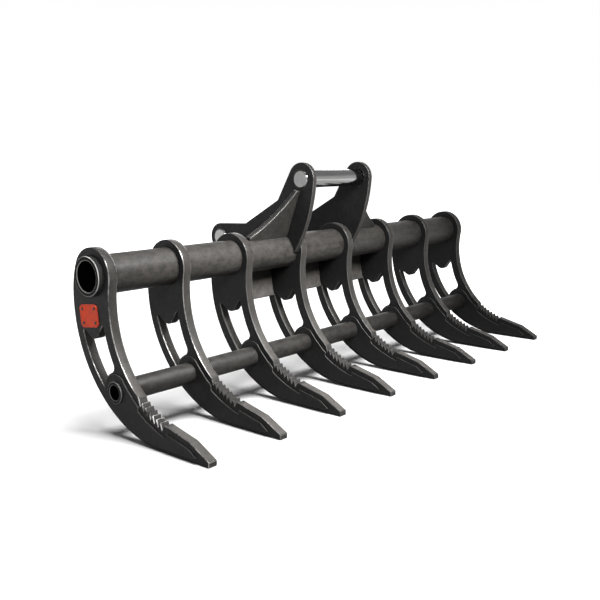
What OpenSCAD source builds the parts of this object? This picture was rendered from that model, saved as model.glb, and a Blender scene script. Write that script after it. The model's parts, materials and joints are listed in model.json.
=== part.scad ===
// Excavator root rake: eight serrated plate tines on two cross tubes, raised cheek plates
// on the tines, a pair of hitch ears with gussets, rolled back plates and two hitch pins.
// X runs along the tubes, the tine tips point to -Y and Z is up. The origin lies on the
// ground below the middle of the rake. Outlines are drawn in the plane of a tine, with
// the first number measured back from the tip and the second one up from the ground.

/* [Tines] */
// Distance from one tine to the next
tine_pitch = 270; // [240:5:320]
// Thickness of a tine plate
tine_t = 30; // [20:1:40]
// Distance from the tip back to the heel, where the back's curve leaves the ground
heel_y = 175; // [160:1:195]
// Radius of the back's curve
back_r = 380; // [360:1:400]
// Radius of the front's curve
front_r = 317; // [300:1:330]
// Radius of the rounded head round the main tube
head_r = 80; // [74:1:88]
// Angle of the head above the centre of the back's curve
head_angle = 12.9; // [10:0.1:16]
// Distance of the head's round inside the back's curve
head_set = 4.6; // [2:0.1:8]
// Radius that blends the back's curve into the head
blend_r = 230; // [200:1:260]
// Slope of the line from the front's centre to the head, where front and head are tangent
neck_angle = 10.3; // [7:0.1:13]

/* [Tip] */
// Height of the blunt tip
tip_h = 15.5; // [8:0.5:25]
// Distance from the tip back to the bend in the nose's top
nose_y = 69; // [55:1:85]
// Height of the bend in the nose's top
nose_z = 52; // [44:1:58]
// Distance from the tip back to the first tooth
bite_y = 169; // [160:1:175]
// Height of the first tooth
bite_z = 76; // [70:1:84]

/* [Teeth] */
// Number of notches in the front edge
notches = 7; // [4:1:9]
// Angle on the front's curve where the notches begin
teeth_angle = -50.9; // [-56:0.1:-46]
// Radius of the line through the tooth points
crest_r = 328; // [300:1:360]
// Depth of a notch
notch_depth = 20.6; // [12:0.2:24]
// Lean of a notch's long side from the vertical
notch_lean = 19; // [10:1:28]

/* [Slot] */
// Width of the plate behind the slot
back_wall = 30; // [22:1:38]
// Width of the plate in front of the slot
front_wall = 34; // [26:1:40]
// Radius of the plate left round the lower tube
foot_r = 57; // [53:0.5:61]
// Radius of the slot's lower front corner
corner_r = 17; // [10:1:24]
// Radius of the slot's lower rear end
heel_r = 13; // [10:0.5:14]
// Radius of the tongue that hangs into the slot
tongue_r = 22; // [16:1:28]
// Distance from the back's curve in to the tongue's centre
tongue_set = 76.5; // [72:0.5:82]
// Angle of the tongue's centre round the centre of the back's curve
tongue_angle = -17.6; // [-19:0.1:-16.5]
// Radius of the slot's upper rear corner
rear_horn_r = 4.5; // [3:0.5:8]
// Angle of that corner round the centre of the back's curve
rear_horn_angle = -16.1; // [-18:0.1:-15]
// Radius of the slot's upper front corner
front_horn_r = 4; // [3:0.5:6]
// Angle of that corner round the centre of the front's curve
front_horn_angle = -11.4; // [-13:0.1:-10]

/* [Cheek plates] */
// Thickness of a cheek plate
cheek_t = 4; // [2:0.5:8]
// Distance from the back's curve to the cheek plate
cheek_back = 12; // [8:1:18]
// Distance from the front edge to the cheek plate
cheek_front = 17; // [12:1:22]
// Distance from the notches' bottoms to the cheek plate
cheek_tooth_gap = 8.5; // [4:0.5:12]
// Distance from the tip back to the cheek plate's point
cheek_tip = 45; // [35:1:60]
// Distance from the first tooth forward to the step in the cheek plate
cheek_step = 11; // [6:1:20]

/* [Tubes] */
// Outer diameter of the main tube
main_od = 114.3; // [100:0.1:125]
// Wall of the main tube
main_wall = 12.5; // [8:0.5:20]
// Length of the main tube past each outer tine
main_over = 16.5; // [5:0.5:60]
// Outer diameter of the lower tube
low_od = 63.5; // [50:0.1:72]
// Wall of the lower tube
low_wall = 10; // [5:0.5:14]
// Length of the lower tube past each outer tine
low_over = 9.5; // [4:0.5:60]
// Distance from the back's curve in to the lower tube's axis
low_set = 64; // [60:0.5:70]
// Angle of the lower tube round the centre of the back's curve
low_angle = -52.7; // [-56:0.1:-50]

/* [Hitch ears] */
// Thickness of an ear plate
ear_t = 18; // [12:1:25]
// Distance from the main tube's axis forward to the stick pin
stick_fwd = 92; // [70:1:110]
// Height of the stick pin above the main tube's axis
stick_up = 251; // [230:1:280]
// Radius of the ear round the stick pin
stick_boss_r = 56; // [46:1:66]
// Distance from the main tube's axis back to the link pin
link_back = 303; // [280:1:330]
// Height of the link pin above the main tube's axis
link_up = 30; // [10:1:50]
// Radius of the ear round the link pin
link_boss_r = 51; // [44:1:60]
// Radius of the ear's front edge
ear_front_r = 520; // [440:5:600]
// Angle on the stick pin's round where that edge begins, below the horizontal
ear_front_angle = 4; // [0:1:10]
// Distance from the stick pin back to the upper bend of the ear
upper_bend_back = 107; // [95:1:120]
// Distance from the stick pin down to the upper bend of the ear
upper_bend_drop = 74; // [60:1:90]
// Distance from the link pin forward to the lower bend of the ear
lower_bend_fwd = 129; // [110:1:150]
// Distance from the ear's level top up to the lower bend
lower_bend_rise = 6; // [2:1:12]
// Width of the ear's foot behind the main tube
ear_foot = 30; // [20:1:40]

/* [Gussets] */
// Thickness of a gusset
gusset_t = 18; // [10:1:24]
// Lean of the gussets forward from the vertical
gusset_lean = 20.7; // [16:0.1:24]
// Length of a gusset along the main tube
gusset_long = 187; // [150:1:205]
// Height of a gusset above the main tube's axis
gusset_high = 228; // [190:1:235]
// Width of a gusset's upper end
gusset_end = 16; // [8:1:30]
// Height of a gusset's outer end above the main tube
gusset_toe = 11; // [6:1:20]
// Radius of a gusset's hollow edge
gusset_r = 480; // [350:10:700]

/* [Back plates] */
// Thickness of a back plate
back_plate_t = 20; // [10:1:26]
// Angle of a back plate's lower edge round the centre of the back's curve
back_plate_angle = -16.6; // [-20:0.1:-12]

/* [Pins] */
// Diameter of the hitch pins
pin_d = 60; // [50:1:70]
// Length of a pin past each ear
pin_over = 4; // [1:0.5:15]
// Bevel on the pins' ends
pin_bevel = 3; // [1:0.5:6]
// Bevel on the rims of the pin holes
hole_bevel = 2; // [0.5:0.5:4]
// Radial clearance of a pin in its holes
pin_fit = 0.09; // [0.05:0.01:0.1]
// Radial clearance of a tube in the plates that it passes through
tube_fit = 0.05; // [0.02:0.01:0.2]

/* [Hidden] */
$fn = 96;
tines = 8;
mid_tine = 4;
paint = [0.17, 0.17, 0.18];
worn = [0.24, 0.23, 0.23];
tube_paint = [0.40, 0.38, 0.36];
chrome = [0.78, 0.79, 0.80];

// Point on a circle, direction between two points, and the point at given distances
// from two others, on the left of the way from the first to the second
function polar(c, r, a) = c + r * [cos(a), sin(a)];
function angle_to(p, q) = atan2(q[1] - p[1], q[0] - p[0]);
function meet(p, rp, q, rq) =
    let (d = norm(q - p), u = (q - p) / d, a = (rp * rp - rq * rq + d * d) / (2 * d))
    p + a * u + sqrt(rp * rp - a * a) * [-u[1], u[0]];
// Point where a line from p touches a circle, on the circle's left seen from its centre
function touch(p, c, r) = polar(c, r, angle_to(c, p) + acos(r / norm(p - c)));
// Both touching points of a line that runs between two circles, turn is 1 or -1
function between_rounds(p, rp, q, rq, turn) =
    let (a = angle_to(p, q) + turn * acos((rp + rq) / norm(q - p)))
    [polar(p, rp, a), polar(q, rq, a + 180)];

// Centres of the tine's curves
back_c = [heel_y, back_r];
head_c = polar(back_c, back_r - head_r - head_set, head_angle);
front_c = head_c - (head_r + front_r) * [cos(neck_angle), sin(neck_angle)];
blend_c = meet(head_c, blend_r - head_r, back_c, back_r - blend_r);
low_c = polar(back_c, back_r - low_set, low_angle);
low_r = low_od / 2;
main_r = main_od / 2;

// Teeth: points of the crests and of the roots, from the upper end down to the nose
bite = [bite_y, bite_z];
nose = [nose_y, nose_z];
teeth_top = polar(front_c, front_r, teeth_angle);
crest_c = meet(bite, crest_r, teeth_top, crest_r);
crest_from = angle_to(crest_c, teeth_top);
crest_step = (angle_to(crest_c, bite) - crest_from) / notches;
function crest(i) = polar(crest_c, crest_r, crest_from + i * crest_step);
function root(i) = crest(i) - notch_depth * [sin(notch_lean), cos(notch_lean)];

// Slot: ease is the depth by which a small round cuts into the curves beside it
ease = 0.05;
slot_front_r = front_r + front_wall;
slot_back_r = back_r - back_wall;
tongue_c = polar(back_c, back_r - tongue_set, tongue_angle);
rear_horn_c = polar(back_c, slot_back_r - rear_horn_r + ease, rear_horn_angle);
front_horn_c = polar(front_c, slot_front_r + front_horn_r - ease, front_horn_angle);
corner_c = meet(front_c, slot_front_r + corner_r - ease, low_c, foot_r + corner_r - ease);
slot_heel_c = meet(low_c, foot_r + heel_r - ease, back_c, slot_back_r - heel_r + ease);

// Hitch
stick_c = head_c + [-stick_fwd, stick_up];
link_c = head_c + [link_back, link_up];
ear_front_c = polar(stick_c, ear_front_r - stick_boss_r, ear_front_angle);
pin_r = pin_d / 2;
ear_x = tine_pitch / 2 + tine_t / 2;
hitch_half = ear_x + ear_t;

// Places across the rake: left face of a tine, and the outer faces of the end tines
function tine_x(i) = (i - (tines + 1) / 2) * tine_pitch - tine_t / 2;
half_w = tine_x(tines) + tine_t;
mid_y = (link_c[0] + link_boss_r) / 2;

// Reaches past the outline for masks, in steps of the back's radius
far = 2 * back_r;
lap = tine_t;

// Extrudes an outline across the rake from the given place
module across(x, t)
    translate([x, -mid_y, 0]) rotate([90, 0, 90]) linear_extrude(t) children();

module disc(c, r) translate(c) circle(r);

// Pie slice round a centre, for slices under half a turn
module slice(c, r, from, to)
    intersection() {
        disc(c, r);
        polygon([c, polar(c, far, from), polar(c, far, (from + to) / 2), polar(c, far, to)]);
    }

// Part of the plane between two distances from the tip
module between(from, to) translate([from, -far]) square([to - from, 3 * far]);

// The back's curve at a margin inside the outline, with a level underside ahead of the heel
module back_and_sole(margin) {
    disc(back_c, back_r - margin);
    translate([0, margin]) square([heel_y, back_r]);
}

// Outer outline of a tine, with its teeth
module tine_outline()
    let (to_blend = angle_to(back_c, blend_c), to_head = angle_to(blend_c, head_c))
    difference() {
        union() {
            intersection() {
                back_and_sole(0);
                polygon([[0, 0], [0, tip_h], nose, bite, back_c, polar(back_c, far, to_blend),
                    [far, -lap], [0, -lap]]);
            }
            intersection() {
                disc(blend_c, blend_r);
                polygon([front_c, polar(head_c, head_r, 180 + neck_angle), head_c,
                    polar(head_c, far, to_head), [far, heel_y], back_c]);
            }
            disc(head_c, head_r);
        }
        slice(front_c, front_r, teeth_angle, 90);
        polygon(concat([front_c, polar(front_c, front_r / 2, 0)],
            [for (i = [0:notches - 1], p = [crest(i), root(i)]) p], [bite]));
    }

// Slot between the back and the front of a tine, with a tongue between two horns on top
module slot_outline()
    let (rear = between_rounds(tongue_c, tongue_r - ease, rear_horn_c, rear_horn_r - ease, -1),
         front = between_rounds(tongue_c, tongue_r - ease, front_horn_c, front_horn_r - ease, 1))
    union() {
        difference() {
            intersection() {
                disc(back_c, slot_back_r);
                polygon([low_c, slot_heel_c, polar(back_c, far, angle_to(back_c, slot_heel_c)),
                    polar(back_c, far, rear_horn_angle), rear_horn_c, rear[1], rear[0],
                    front[0], front[1], front_horn_c, front_c, corner_c]);
            }
            disc(front_c, slot_front_r);
            disc(low_c, foot_r);
            disc(tongue_c, tongue_r);
        }
        disc(corner_c, corner_r);
        disc(slot_heel_c, heel_r);
        disc(rear_horn_c, rear_horn_r);
        disc(front_horn_c, front_horn_r);
    }

module tine(i)
    color(paint) across(tine_x(i), tine_t)
        difference() {
            tine_outline();
            slot_outline();
            disc(head_c, main_r + tube_fit);
            disc(low_c, low_r + tube_fit);
        }

// Raised plate on the lower part of a tine, with an even margin to the tine's edges
module cheek_outline()
    let (edge = cheek_front * [nose_z - bite_z, bite_y - nose_y] / norm(bite - nose),
         step_y = bite_y - cheek_step,
         tooth_r = crest_r + notch_depth + cheek_tooth_gap,
         end_r = low_set - cheek_back)
    difference() {
        union() {
            intersection() {
                back_and_sole(cheek_back);
                polygon([[cheek_tip, cheek_front], nose - edge, bite - edge, back_c,
                    polar(back_c, far, low_angle), [heel_y, -lap]]);
            }
            disc(low_c, end_r);
        }
        intersection() {
            disc(front_c, front_r + cheek_front);
            between(step_y, heel_y + back_r);
        }
        intersection() {
            disc(crest_c, tooth_r);
            between(step_y, teeth_top[0]);
        }
        disc(low_c, low_r + tube_fit);
    }

module cheek(x) color(worn) across(x, cheek_t) cheek_outline();

module tube(c, od, wall, over)
    color(tube_paint) across(-half_w - over, 2 * (half_w + over))
        difference() {
            disc(c, od / 2);
            disc(c, od / 2 - wall);
        }

// Outline of a hitch ear: rounds at both pins, a long curved front edge that runs out in
// a point on the main tube, and a foot behind the tube
module ear_outline()
    let (upper = stick_c + [upper_bend_back, -upper_bend_drop],
         lower = link_c + [-lower_bend_fwd, link_boss_r + lower_bend_rise],
         foot = head_c + (main_r + ear_foot) * [cos(neck_angle), -sin(neck_angle)],
         front = polar(ear_front_c, far, 180 + ear_front_angle))
    difference() {
        union() {
            disc(stick_c, stick_boss_r);
            disc(link_c, link_boss_r);
            intersection() {
                disc(ear_front_c, ear_front_r);
                polygon([head_c, [front[0], head_c[1]], front, stick_c,
                    polar(stick_c, stick_boss_r, angle_to(stick_c, upper)
                        + acos(stick_boss_r / norm(upper - stick_c))),
                    upper, lower, link_c + [0, link_boss_r], link_c,
                    touch(foot, link_c, link_boss_r), foot]);
            }
        }
        disc(head_c, main_r + tube_fit);
    }

// Pin hole through an ear, with a bevel on both rims
module pin_cut(c, near, away)
    translate([0, c[0] - mid_y, c[1]]) rotate([0, 90, 0]) {
        translate([0, 0, near - far]) cylinder(h = 2 * far, r = pin_r + pin_fit);
        for (x = [near, away])
            translate([0, 0, x - hole_bevel])
                rotate_extrude() polygon([[0, 0], [pin_r + pin_fit, 0],
                    [pin_r + pin_fit + hole_bevel, hole_bevel],
                    [pin_r + pin_fit, 2 * hole_bevel], [0, 2 * hole_bevel]]);
    }

module ear(x)
    color(paint) difference() {
        across(x, ear_t) ear_outline();
        pin_cut(stick_c, x, x + ear_t);
        pin_cut(link_c, x, x + ear_t);
    }

// Gusset in a leaning plane through the main tube's axis, seen with x outward from the ear
module gusset_outline()
    let (toe = [gusset_long, main_r + gusset_toe], top = [gusset_end, gusset_high])
    difference() {
        polygon([[0, main_r - gusset_toe], [gusset_long, main_r - gusset_toe], toe, top,
            [0, gusset_high]]);
        disc(meet(top, gusset_r, toe, gusset_r), gusset_r);
    }

module gusset(side)
    color(paint) mirror([side < 0 ? 1 : 0, 0, 0]) difference() {
        translate([hitch_half, head_c[0] - mid_y, head_c[1]])
            rotate([90 + gusset_lean, 0, 0])
                translate([0, 0, -gusset_t / 2]) linear_extrude(gusset_t) gusset_outline();
        across(0, half_w) disc(head_c, main_r + tube_fit);
    }

// Back plate rolled to the tine's back, between a tine and the next one, and cut where
// it meets the main tube and the ears
module back_plate(i)
    color(paint) difference() {
        across(tine_x(i) + tine_t, tine_pitch - tine_t) difference() {
            slice(back_c, slot_back_r + back_plate_t, back_plate_angle, head_angle);
            disc(back_c, slot_back_r);
            disc(head_c, main_r + tube_fit);
        }
        for (x = [-hitch_half, ear_x]) across(x, ear_t) ear_outline();
    }

module pin(c)
    color(chrome) translate([-hitch_half - pin_over, c[0] - mid_y, c[1]]) rotate([0, 90, 0])
        let (long = 2 * (hitch_half + pin_over))
        rotate_extrude() polygon([[0, 0], [pin_r - pin_bevel, 0], [pin_r, pin_bevel],
            [pin_r, long - pin_bevel], [pin_r - pin_bevel, long], [0, long]]);

for (i = [1:tines]) {
    tine(i);
    cheek(tine_x(i) - cheek_t);
    cheek(tine_x(i) + tine_t);
}
tube(head_c, main_od, main_wall, main_over);  // main_tube
tube(low_c, low_od, low_wall, low_over);  // lower_tube
ear(-hitch_half);  // ear_left
ear(ear_x);  // ear_right
gusset(-1);  // gusset_left
gusset(1);  // gusset_right
for (i = [1:3])
    back_plate(mid_tine - 2 + i);
pin(stick_c);  // stick_pin
pin(link_c);  // link_pin
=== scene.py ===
import json
import math

import bpy
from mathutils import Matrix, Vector

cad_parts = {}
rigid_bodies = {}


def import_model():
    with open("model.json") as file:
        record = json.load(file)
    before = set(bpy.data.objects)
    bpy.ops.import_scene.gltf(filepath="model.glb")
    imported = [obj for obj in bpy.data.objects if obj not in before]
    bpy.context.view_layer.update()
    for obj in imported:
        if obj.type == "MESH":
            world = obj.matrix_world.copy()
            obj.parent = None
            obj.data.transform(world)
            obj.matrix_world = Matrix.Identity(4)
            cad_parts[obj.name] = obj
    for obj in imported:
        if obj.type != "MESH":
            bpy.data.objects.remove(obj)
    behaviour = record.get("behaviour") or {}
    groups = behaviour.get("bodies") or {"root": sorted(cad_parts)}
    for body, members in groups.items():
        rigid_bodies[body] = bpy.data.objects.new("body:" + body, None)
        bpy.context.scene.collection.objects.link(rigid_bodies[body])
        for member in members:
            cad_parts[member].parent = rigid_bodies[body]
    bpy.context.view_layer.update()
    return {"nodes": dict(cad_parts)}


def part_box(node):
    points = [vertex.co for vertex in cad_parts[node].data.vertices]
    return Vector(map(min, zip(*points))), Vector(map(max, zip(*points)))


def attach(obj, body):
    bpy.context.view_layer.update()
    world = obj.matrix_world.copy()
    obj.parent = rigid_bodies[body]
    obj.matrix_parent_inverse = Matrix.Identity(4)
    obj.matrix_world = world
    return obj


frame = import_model()
print("frame loaded")

tines = ["tine_%d" % i for i in range(1, 9)]
cheeks = ["cheek_%s_%d" % (side, i) for side in ("left", "right") for i in range(1, 9)]
hitch = ["ear_left", "ear_right", "gusset_left", "gusset_right"]
backPlates = ["back_plate_%d" % i for i in (1, 2, 3)]
pins = ["stick_pin", "link_pin"]


# camera at the photograph's viewing angle, metres and degrees, lens and sensor in millimetres
camera = {"place": (-2.2794, -1.8373, 0.7790), "down": 10.18, "turn": 49.50, "lens": 48.60,
          "sensor": 36.0, "reach": 60.0}


def setCamera():
    data = bpy.data.cameras.new("camera")
    data.lens = camera["lens"]
    data.sensor_width = camera["sensor"]
    data.clip_end = camera["reach"]
    cam = bpy.data.objects.new("camera", data)
    cam.location = camera["place"]
    cam.rotation_euler = (math.radians(90 - camera["down"]), 0, math.radians(-camera["turn"]))
    bpy.context.scene.collection.objects.link(cam)
    bpy.context.scene.camera = cam


setCamera()
print("camera set")


# a number inside a node tree: sums and products on it add Math nodes
class Level:
    def __init__(self, nodes, socket):
        self.nodes = nodes
        self.socket = socket

    def maths(self, operation, first, second):
        return self.nodes.node("ShaderNodeMath", {"operation": operation}, {0: first, 1: second})

    def __add__(self, other):
        return self.maths("ADD", self, other)

    def __radd__(self, other):
        return self.maths("ADD", other, self)

    def __sub__(self, other):
        return self.maths("SUBTRACT", self, other)

    def __rsub__(self, other):
        return self.maths("SUBTRACT", other, self)

    def __mul__(self, other):
        return self.maths("MULTIPLY", self, other)

    def __rmul__(self, other):
        return self.maths("MULTIPLY", other, self)

    def __abs__(self):
        return self.maths("ABSOLUTE", self, 0.0)

    def atMost(self, limit):
        return self.maths("MINIMUM", self, limit)

    # 0 where the number is under low, 1 where it is over high, with a soft step between
    def step(self, low, high):
        return self.nodes.node("ShaderNodeMapRange", {"interpolation_type": "SMOOTHSTEP"},
                               {"Value": self, "From Min": low, "From Max": high})


class Nodes:
    def __init__(self, tree):
        self.tree = tree

    def node(self, kind, settings, inputs, output=0):
        new = self.tree.nodes.new(kind)
        for key, setting in settings.items():
            setattr(new, key, setting)
        for key, source in inputs.items():
            self.feed(new.inputs[key], source)
        return Level(self, new.outputs[output])

    def feed(self, socket, source):
        if isinstance(source, Level):
            self.tree.links.new(source.socket, socket)
        else:
            socket.default_value = source

    def vectorMaths(self, operation, first, second, output=0):
        return self.node("ShaderNodeVectorMath", {"operation": operation}, {0: first, 1: second}, output)

    def part(self, vector, letter):
        return self.node("ShaderNodeSeparateXYZ", {}, {0: vector}, letter)

    # 1 for the rays of one kind
    def rays(self, kind):
        return self.node("ShaderNodeLightPath", {}, {}, "Is %s Ray" % kind)

    # 1 for the rays that show the white backdrop itself
    def backdropRays(self):
        return (self.rays("Camera") + self.rays("Glossy") + self.rays("Transmission")).atMost(1.0)


class Finish(Nodes):
    def __init__(self, name):
        self.material = bpy.data.materials.new(name)
        self.material.use_nodes = True
        Nodes.__init__(self, self.material.node_tree)
        self.shader = self.tree.nodes["Principled BSDF"]
        self.place = self.node("ShaderNodeTexCoord", {}, {}, "Object")

    def paint(self, **sockets):
        for key, source in sockets.items():
            self.feed(self.shader.inputs[key.replace("_", " ")], source)

    def facing(self, letter):
        return self.part(self.node("ShaderNodeNewGeometry", {}, {}, "Normal"), letter)

    def noise(self, scale, detail=4.0, roughness=0.55, stretch=(1, 1, 1)):
        inputs = {"Vector": self.vectorMaths("MULTIPLY", self.place, stretch), "Scale": scale,
                  "Detail": detail, "Roughness": roughness}
        return self.node("ShaderNodeTexNoise", {}, inputs, "Fac")

    def blend(self, factor, first, second):
        return self.node("ShaderNodeMix", {"data_type": "RGBA"}, {0: factor, 6: first, 7: second}, 2)

    def dimmed(self, colour, level):
        scaled = self.vectorMaths("SCALE", colour, (0, 0, 0))
        self.feed(scaled.socket.node.inputs["Scale"], level)
        return scaled

    def bump(self, height, strength, distance=0.001):
        inputs = {"Height": height, "Strength": strength, "Distance": distance}
        return self.node("ShaderNodeBump", {}, inputs)

    # distance from an axis that runs along X through the given point
    def fromAxis(self, centre):
        flat = self.vectorMaths("MULTIPLY", self.place, (0, 1, 1))
        return self.vectorMaths("DISTANCE", flat, (0, centre[1], centre[2]), "Value")


# share of the first number, the rest of the second
def mixed(first, second, share):
    return first * share + second * (1 - share)


# grey of a level as light, with a warm or cool cast
def grey(level, warmth=0.0):
    return (level * (1 + warmth), level, level * (1 - warmth), 1)


def middle(name):
    low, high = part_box(name)
    return [(a + b) / 2 for a, b in zip(low, high)]


# start and end of each soft step: the first three go by a face's normal, low by its height over
# the ground, and teeth and nose by how far forward it is, in metres
zone = {"side": (0.55, 0.85), "front": (0.10, 0.75), "blunt": (0.75, 0.90), "low": (0.17, 0.30),
        "teeth": (0.128, 0.140), "nose": (0.242, 0.258)}

# flat faces keep their black paint, cut edges are worn, most of all where they meet the soil in front;
# the cut faces are also painted lighter where they face forward, lie low or top the nose, as painted
# light from lamps in front and above, and the nose's end face is painted darker as painted shade
# each noise has its scale, detail and roughness
plateLook = {"side": grey(0.011), "cut": grey(0.030, 0.04), "front": grey(0.022, 0.08),
             "low": grey(0.045, 0.07), "teeth": grey(0.026, 0.05), "tip": grey(0.064, 0.06),
             "cloud": (5.0, 4.0, 0.6), "mottle": (70.0, 5.0, 0.65), "grain": (330.0, 2.0, 0.5),
             "mottleShare": 0.6, "uneven": (0.36, 0.62), "spot": 0.30, "shine": 0.13,
             "rough": 0.46, "roughGrain": 0.18, "smoothLight": 0.08, "bump": 0.10, "bumpMottle": 0.5}
cheekLook = dict(plateLook, side=grey(0.012), cut=grey(0.016, 0.03), front=grey(0.018, 0.04),
                 low=grey(0.018, 0.04), teeth=grey(0.018, 0.04), tip=grey(0.018, 0.04))
hitchLook = dict(plateLook, cut=grey(0.020, 0.05), front=grey(0.020, 0.08), low=grey(0.020, 0.08),
                 cloud=(11.0, 4.0, 0.6), spot=0.5)
# painted light: the back plates' cut and forward faces are painted lighter, as lit from the front
litBackLook = dict(hitchLook, side=grey(0.012), cut=grey(0.050, 0.05), front=grey(0.050, 0.08),
                low=grey(0.050, 0.08))

# painted highlights: bright lines along the front of a tine, as a step on the distance from its middle
# plane
rimHighlightLook = {"colour": grey(0.24, 0.03), "band": (0.0120, 0.0132), "patch": (13.0, 3.0, 0.5),
           "gone": (0.44, 0.56)}


# centre is the X of a tine's middle plane, and gives that tine painted highlight lines along its front,
# and a true last argument carries them on along the top of its nose
def plateSteel(name, look, centre=None, highlightOnNose=False):
    finish = Finish(name)
    cloud = finish.noise(*look["cloud"])
    mottle = finish.noise(*look["mottle"])
    grain = finish.noise(*look["grain"])
    side = abs(finish.facing("X")).step(*zone["side"])
    forward = finish.part(finish.place, "Y") * -1.0
    low = 1.0 - finish.part(finish.place, "Z").step(*zone["low"])
    teeth = forward.step(*zone["teeth"])
    nose = forward.step(*zone["nose"])
    facingFront = finish.facing("Y") * -1.0
    front = (facingFront.step(*zone["front"]) + nose).atMost(1.0)
    blunt = facingFront.step(*zone["blunt"])
    # wear and painted light: forward, low and nose-top cut faces get lighter colours, the nose's end face
    # a darker one as painted shade
    worn = finish.blend(teeth, finish.blend(low, look["front"], look["low"]), look["teeth"])
    worn = finish.blend(nose * (1.0 - blunt), worn, look["tip"])
    worn = finish.blend(nose * blunt, worn, look["front"])
    shade = finish.blend(side, finish.blend(front, look["cut"], worn), look["side"])
    if centre is not None:
        # painted highlight: bright lines along the tine's front edges
        rim = abs(finish.part(finish.place, "X") - centre).step(*rimHighlightLook["band"])
        patch = (finish.noise(*rimHighlightLook["patch"]).step(*rimHighlightLook["gone"]) + nose).atMost(1.0)
        offNose = 1.0 - nose * (blunt if highlightOnNose else 1.0)
        shade = finish.blend(rim * front * patch * offNose * (1.0 - side), shade, rimHighlightLook["colour"])
    uneven = mixed(mottle, cloud, look["mottleShare"]).step(*look["uneven"])
    rough = look["rough"] + look["roughGrain"] * grain - look["smoothLight"] * uneven
    finish.paint(Base_Color=finish.blend(uneven, finish.dimmed(shade, 1.0 - look["spot"]), shade),
                 Metallic=0.0, Specular_IOR_Level=look["shine"], Roughness=rough,
                 Normal=finish.bump(mixed(mottle, grain, look["bumpMottle"]), look["bump"]))
    return finish.material


# bevelled edges that face forward have lost their paint in patches, with a colour of their own
# between the two steps of the teeth; on the first two tines both colours are light, as painted
# highlights, brightest on the first tine's teeth
highlightEdgeLook = {"bareAndHighlight": grey(0.25, 0.03), "teeth": grey(0.75, 0.02), "covered": grey(0.02, 0.03),
            "front": (0.05, 0.35), "patch": (11.0, 5.0, 0.7), "gone": (0.36, 0.60),
            "teethFrom": (0.128, 0.140), "teethTo": (0.240, 0.256), "metal": 0.9,
            "rough": 0.22, "grain": (200.0, 3.0), "roughGrain": 0.12}
secondHighlightEdgeLook = dict(highlightEdgeLook, teeth=grey(0.10, 0.03))
paintedEdgeLook = dict(highlightEdgeLook, bareAndHighlight=grey(0.05, 0.04), teeth=grey(0.05, 0.04), patch=(9.0, 5.0, 0.7),
                       metal=0.4, rough=0.40)


def wornAndHighlightEdge(name, look):
    finish = Finish(name)
    front = (finish.facing("Y") * -1.0).step(*look["front"])
    gone = front * finish.noise(*look["patch"]).step(*look["gone"])
    forward = finish.part(finish.place, "Y") * -1.0
    teeth = forward.step(*look["teethFrom"]) - forward.step(*look["teethTo"])
    bareAndHighlight = finish.blend(teeth, look["bareAndHighlight"], look["teeth"])
    finish.paint(Base_Color=finish.blend(gone, look["covered"], bareAndHighlight), Metallic=look["metal"],
                 Roughness=look["rough"] + look["roughGrain"] * finish.noise(*look["grain"]))
    return finish.material


# painted shade: the outermost ends and the bores are darker than the skin of a tube
tubeLook = {"dark": grey(0.008, 0.08), "light": grey(0.029, 0.09), "end": grey(0.008),
            "bore": grey(0.002), "boreRadius": 0.04465, "boreStep": (0.0005, 0.0015),
            "endStep": (0.953, 0.961), "cloud": (9.0, 5.0, 0.6, (0.4, 1, 1)),
            "mottle": (60.0, 6.0, 0.7, (0.7, 1, 1)), "grain": (260.0, 3.0, 0.6),
            "cloudShare": 0.25, "uneven": (0.32, 0.66), "rough": 0.42, "roughGrain": 0.22,
            "roughBore": 0.4, "roughEnd": 0.3, "bump": 0.12, "bumpMottle": 0.6, "shine": 0.16}
# painted shade: the lower tube is a darker copy of the main tube's paint
shadedLowTubeLook = dict(tubeLook, dark=grey(0.005, 0.08), light=grey(0.019, 0.09), boreRadius=0.02175,
                   shine=0.18)


def tubeSteel(name, look, tube):
    finish = Finish(name)
    cloud = finish.noise(*look["cloud"])
    mottle = finish.noise(*look["mottle"])
    grain = finish.noise(*look["grain"])
    uneven = mixed(cloud, mottle, look["cloudShare"]).step(*look["uneven"])
    # painted shade on the tube's outer ends and in its bore
    end = abs(finish.part(finish.place, "X")).step(*look["endStep"])
    boreStep = [look["boreRadius"] + more for more in look["boreStep"]]
    bore = 1.0 - finish.fromAxis(middle(tube)).step(*boreStep)
    skin = finish.blend(end, finish.blend(uneven, look["dark"], look["light"]), look["end"])
    rough = look["rough"] + look["roughGrain"] * grain + look["roughBore"] * bore + look["roughEnd"] * end
    finish.paint(Base_Color=finish.blend(bore, skin, look["bore"]), Metallic=bore,
                 Specular_IOR_Level=look["shine"], Roughness=rough,
                 Normal=finish.bump(mixed(mottle, grain, look["bumpMottle"]), look["bump"]))
    return finish.material


# bare metal or plain paint in two shades, for the pins, the tubes' edges and the rivets; the light grey
# on the tubes' bevelled edges is a painted highlight, dimmer on the lower tube as painted shade
scratches = (90.0, 4.0, 0.6, (0.15, 1, 1))
pinLook = {"dark": grey(0.22), "light": grey(0.34, 0.01), "patch": scratches, "metal": 1.0,
           "rough": 0.08, "grain": scratches, "roughGrain": 0.08}
tubeEdgeHighlightLook = {"dark": grey(0.14, 0.02), "light": grey(0.32, 0.02), "patch": (40.0,), "metal": 0.0,
                "rough": 0.55, "grain": (250.0,), "roughGrain": 0.2}
lowTubeEdgeHighlightLook = dict(tubeEdgeHighlightLook, dark=grey(0.04), light=grey(0.11, 0.02))
rivetLook = dict(tubeEdgeHighlightLook, dark=grey(0.02), light=grey(0.05, 0.05), patch=(400.0,), metal=0.6,
                 rough=0.35)


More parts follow.
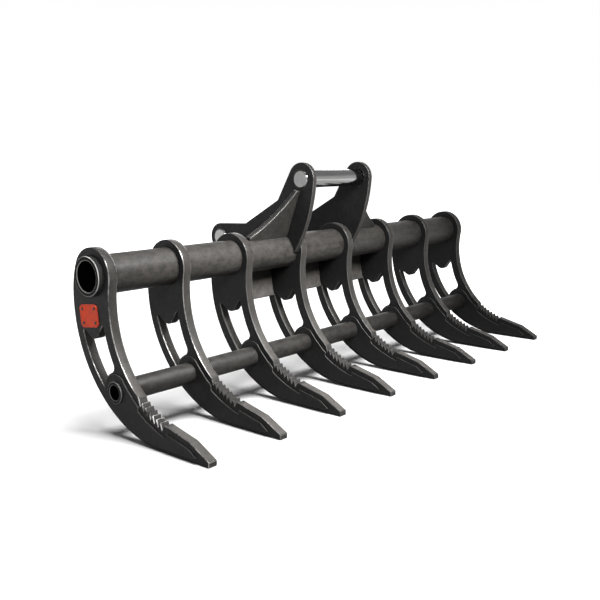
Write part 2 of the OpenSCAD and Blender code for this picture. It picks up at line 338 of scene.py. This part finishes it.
def plainSteel(name, look):
    finish = Finish(name)
    patch = finish.noise(*look["patch"])
    finish.paint(Base_Color=finish.blend(patch, look["dark"], look["light"]), Metallic=look["metal"],
                 Roughness=look["rough"] + look["roughGrain"] * finish.noise(*look["grain"]))
    return finish.material


# widths in metres, angles in degrees: triangles flatter than flat become one face, and edges
# sharper than sharp are bevelled
edgeCut = {"plate": 0.0022, "cheek": 0.0012, "tube": 0.0020, "pin": 0.0010, "join": 0.00002,
           "flat": 0.3, "sharp": 35.0, "segments": 2}


# the CAD node keeps its shape: its triangles are joined and its edges get a small bevel
def dress(names, steel, edge, width):
    for name in names:
        piece = frame["nodes"][name]
        piece.data.materials.clear()
        piece.data.materials.append(steel)
        piece.data.materials.append(edge)
        weld = piece.modifiers.new("weld", "WELD")
        weld.merge_threshold = edgeCut["join"]
        flat = piece.modifiers.new("flat", "DECIMATE")
        flat.decimate_type = "DISSOLVE"
        flat.angle_limit = math.radians(edgeCut["flat"])
        bevel = piece.modifiers.new("bevel", "BEVEL")
        bevel.width = width
        bevel.segments = edgeCut["segments"]
        bevel.limit_method = "ANGLE"
        bevel.angle_limit = math.radians(edgeCut["sharp"])
        bevel.harden_normals = True
        bevel.use_clamp_overlap = False
        bevel.material = 1


paintedEdge = wornAndHighlightEdge("paintedEdge", paintedEdgeLook)
chrome = plainSteel("pinChrome", pinLook)
# the first two tines get light edge colours as painted highlights, the other plates plain painted edges
dress(tines[:1], plateSteel("firstSteel", plateLook, middle("tine_1")[0]),
      wornAndHighlightEdge("wornAndHighlightEdge", highlightEdgeLook), edgeCut["plate"])
dress(tines[1:2], plateSteel("secondSteel", plateLook, middle("tine_2")[0], True),
      wornAndHighlightEdge("secondEdge", secondHighlightEdgeLook), edgeCut["plate"])
dress(tines[2:], plateSteel("tineSteel", plateLook), paintedEdge, edgeCut["plate"])
dress(cheeks, plateSteel("cheekSteel", cheekLook), paintedEdge, edgeCut["cheek"])
dress(hitch, plateSteel("hitchSteel", hitchLook), paintedEdge, edgeCut["plate"])
dress(backPlates, plateSteel("backSteel", litBackLook), paintedEdge, edgeCut["plate"])
dress(["main_tube"], tubeSteel("mainTubeSteel", tubeLook, "main_tube"),
      plainSteel("tubeEdge", tubeEdgeHighlightLook), edgeCut["tube"])
dress(["lower_tube"], tubeSteel("lowerTubeSteel", shadedLowTubeLook, "lower_tube"),
      plainSteel("lowTubeEdge", lowTubeEdgeHighlightLook), edgeCut["tube"])
dress(pins, chrome, chrome, edgeCut["pin"])
print("steel finished")


# blank tag on the outer face of the first tine: a rounded rectangle with a raised rim and four rivets
tag = {"back": 0.0705, "up": 0.331, "wide": 0.082, "high": 0.066, "thick": 0.0030, "tilt": -7.0,
       "corner": 0.014, "cornerSegments": 7, "rim": 0.0035, "sunk": 0.0008, "bevel": 0.0004}
rivet = {"inward": 0.013, "radius": 0.0042, "high": 0.0018, "sides": 24, "topInset": 0.35,
         "topRise": 0.25, "bevel": 0.0003}


# true for the faces that look away from the tine
def facesOut(face):
    return face.normal.x < -0.9


def select(mesh, kind, items, wanted):
    bpy.ops.object.mode_set(mode="EDIT")
    bpy.ops.mesh.select_mode(type=kind)
    bpy.ops.mesh.select_all(action="DESELECT")
    bpy.ops.object.mode_set(mode="OBJECT")
    for item in items:
        item.select = wanted(item)
    bpy.ops.object.mode_set(mode="EDIT")


def finishPiece(piece, material, width):
    bpy.ops.object.mode_set(mode="OBJECT")
    bevel = piece.modifiers.new("bevel", "BEVEL")
    bevel.width = width
    bevel.segments = edgeCut["segments"]
    bevel.angle_limit = math.radians(edgeCut["sharp"])
    bpy.ops.object.modifier_apply(modifier="bevel")
    bpy.ops.object.shade_smooth_by_angle(angle=math.radians(edgeCut["sharp"]))
    piece.data.materials.append(material)
    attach(piece, "weldment")


def makeTag(face, material):
    bpy.ops.object.select_all(action="DESELECT")
    bpy.ops.mesh.primitive_cube_add(size=1)
    piece = bpy.context.object
    piece.name = "tag"
    piece.scale = (tag["thick"], tag["wide"], tag["high"])
    bpy.ops.object.transform_apply(location=False, rotation=False, scale=True)
    points = piece.data.vertices

    def runsThrough(line):
        first, second = [points[i].co.x for i in line.vertices]
        return abs(first - second) > tag["thick"] / 2

    select(piece.data, "EDGE", piece.data.edges, runsThrough)
    bpy.ops.mesh.bevel(offset=tag["corner"], segments=tag["cornerSegments"])
    select(piece.data, "FACE", piece.data.polygons, facesOut)
    bpy.ops.mesh.inset(thickness=tag["rim"])
    bpy.ops.transform.translate(value=(tag["sunk"], 0, 0))
    bpy.ops.object.mode_set(mode="OBJECT")
    piece.rotation_euler = (math.radians(tag["tilt"]), 0, 0)
    piece.location = (face - tag["thick"] / 2, tag["back"], tag["up"])
    bpy.ops.object.transform_apply()
    finishPiece(piece, material, tag["bevel"])


# one rivet head is shaped, and the other three are copies with meshes of their own
def makeRivets(face, material):
    bpy.ops.object.select_all(action="DESELECT")
    bpy.ops.mesh.primitive_cylinder_add(vertices=rivet["sides"], radius=rivet["radius"],
                                        depth=rivet["high"], rotation=(0, -math.pi / 2, 0))
    first = bpy.context.object
    first.name = "tag_rivet_1"
    bpy.ops.object.transform_apply(location=False, rotation=True, scale=False)
    select(first.data, "FACE", first.data.polygons, facesOut)
    bpy.ops.mesh.inset(thickness=rivet["radius"] * rivet["topInset"])
    bpy.ops.transform.translate(value=(-rivet["high"] * rivet["topRise"], 0, 0))
    finishPiece(first, material, rivet["bevel"])
    heads = [first]
    for i in (2, 3, 4):
        head = first.copy()
        head.data = first.data.copy()
        head.name = "tag_rivet_%d" % i
        bpy.context.scene.collection.objects.link(head)
        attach(head, "weldment")
        heads.append(head)
    turn = math.radians(tag["tilt"])
    corners = [(y, z) for y in (-1, 1) for z in (-1, 1)]
    for head, (sideY, sideZ) in zip(heads, corners):
        y = sideY * (tag["wide"] / 2 - rivet["inward"])
        z = sideZ * (tag["high"] / 2 - rivet["inward"])
        bpy.ops.object.select_all(action="DESELECT")
        head.select_set(True)
        bpy.context.view_layer.objects.active = head
        head.location = (face - tag["thick"] + tag["sunk"] - rivet["high"] / 2,
                         tag["back"] + y * math.cos(turn) - z * math.sin(turn),
                         tag["up"] + y * math.sin(turn) + z * math.cos(turn))
        bpy.ops.object.transform_apply(location=True, rotation=False, scale=False)


tagLook = {"colour": (0.66, 0.066, 0.026, 1), "worn": (0.52, 0.052, 0.022, 1),
           "patch": (60.0, 5.0, 0.6), "uneven": (0.35, 0.65), "shine": 0.25, "rough": 0.50,
           "roughPatch": 0.1, "grain": (300.0,), "bump": 0.08, "bumpDepth": 0.0005}


def enamel(look):
    finish = Finish("tagEnamel")
    patch = finish.noise(*look["patch"]).step(*look["uneven"])
    finish.paint(Base_Color=finish.blend(patch, look["worn"], look["colour"]), Metallic=0.0,
                 Specular_IOR_Level=look["shine"], Roughness=look["rough"] + look["roughPatch"] * patch,
                 Normal=finish.bump(finish.noise(*look["grain"]), look["bump"], look["bumpDepth"]))
    return finish.material


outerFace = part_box("tine_1")[0][0]
makeTag(outerFace, enamel(tagLook))
makeRivets(outerFace, plainSteel("rivetSteel", rivetLook))
print("tag made")


# the floor is white where it is seen or mirrored, and dull where it would only throw light back up;
# its glow grows with the distance from the middle, between from and to
floorLook = {"size": 40.0, "seen": grey(0.86), "mirrored": grey(0.54), "unseen": grey(0.16),
             "near": 0.01, "far": 0.95, "from": 1.15, "to": 3.2}


def makeFloor():
    bpy.ops.object.select_all(action="DESELECT")
    bpy.ops.mesh.primitive_plane_add(size=floorLook["size"])
    floor = bpy.context.object
    floor.name = "floor"
    finish = Finish("floorWhite")
    distance = finish.vectorMaths("LENGTH", finish.place, (0, 0, 0), "Value")
    away = distance.step(floorLook["from"], floorLook["to"])
    seen = finish.backdropRays()
    glow = seen * (floorLook["near"] + (floorLook["far"] - floorLook["near"]) * away)
    offCamera = finish.blend(seen, floorLook["unseen"], floorLook["mirrored"])
    finish.paint(Base_Color=finish.blend(finish.rays("Camera"), offCamera, floorLook["seen"]),
                 Roughness=1.0, Specular_IOR_Level=0.0,
                 Emission_Color=finish.blend(glow, (0, 0, 0, 1), (1, 1, 1, 1)), Emission_Strength=1.0)
    floor.data.materials.append(finish.material)


# the backdrop is white up to the horizon and dims to overhead above it; world is the plain level
studio = {"world": 0.10, "overhead": 0.45, "horizon": (0.15, 0.50)}

# each lamp: place, target, size, power, spread and what it lights
lamps = {"topLight": ((0.3, -1.2, 8.2), (0, -0.05, 0), (4.0, 4.0), 300, 180, "object"),
         "floorLight": ((0.3, -1.2, 8.2), (0, -0.05, 0), (4.8, 4.8), 1400, 180, "floor"),
         "frontLight": ((-0.45, -1.9, 2.0), (-0.35, 0, 0.35), (1.2, 0.9), 34, 52, "object"),
         "leftLight": ((-3.1, -1.3, 1.9), (-0.9, 0, 0.3), (1.2, 1.2), 60, 180, "object"),
         "backLight": ((2.4, 2.8, 1.6), (0, 0, 0.35), (2.4, 1.6), 60, 180, "object")}


def makeWorld():
    world = bpy.data.worlds.new("studio")
    bpy.context.scene.world = world
    world.use_nodes = True
    nodes = Nodes(world.node_tree)
    background = world.node_tree.nodes["Background"]
    background.inputs["Color"].default_value = (1, 1, 1, 1)
    upward = nodes.part(nodes.node("ShaderNodeTexCoord", {}, {}, "Generated"), "Z")
    backdrop = 1.0 - (1.0 - studio["overhead"]) * upward.step(*studio["horizon"])
    seen = nodes.backdropRays()
    nodes.feed(background.inputs["Strength"], seen * backdrop + (1.0 - seen) * studio["world"])


def makeLamps():
    lit = {"object": bpy.data.collections.new("litObject"), "floor": bpy.data.collections.new("litFloor")}
    for piece in bpy.data.objects:
        if piece.type == "MESH":
            lit["floor" if piece.name == "floor" else "object"].objects.link(piece)
    for name, (place, target, size, power, spread, receiver) in lamps.items():
        data = bpy.data.lights.new(name, "AREA")
        data.shape = "RECTANGLE"
        data.size, data.size_y = size
        data.energy = power
        data.spread = math.radians(spread)
        lamp = bpy.data.objects.new(name, data)
        lamp.location = place
        lamp.rotation_euler = (Vector(place) - Vector(target)).to_track_quat("Z", "Y").to_euler()
        bpy.context.scene.collection.objects.link(lamp)
        lamp.light_linking.receiver_collection = lit[receiver]


makeFloor()
makeWorld()
makeLamps()
bpy.context.scene.view_settings.view_transform = "Standard"
print("studio lit")
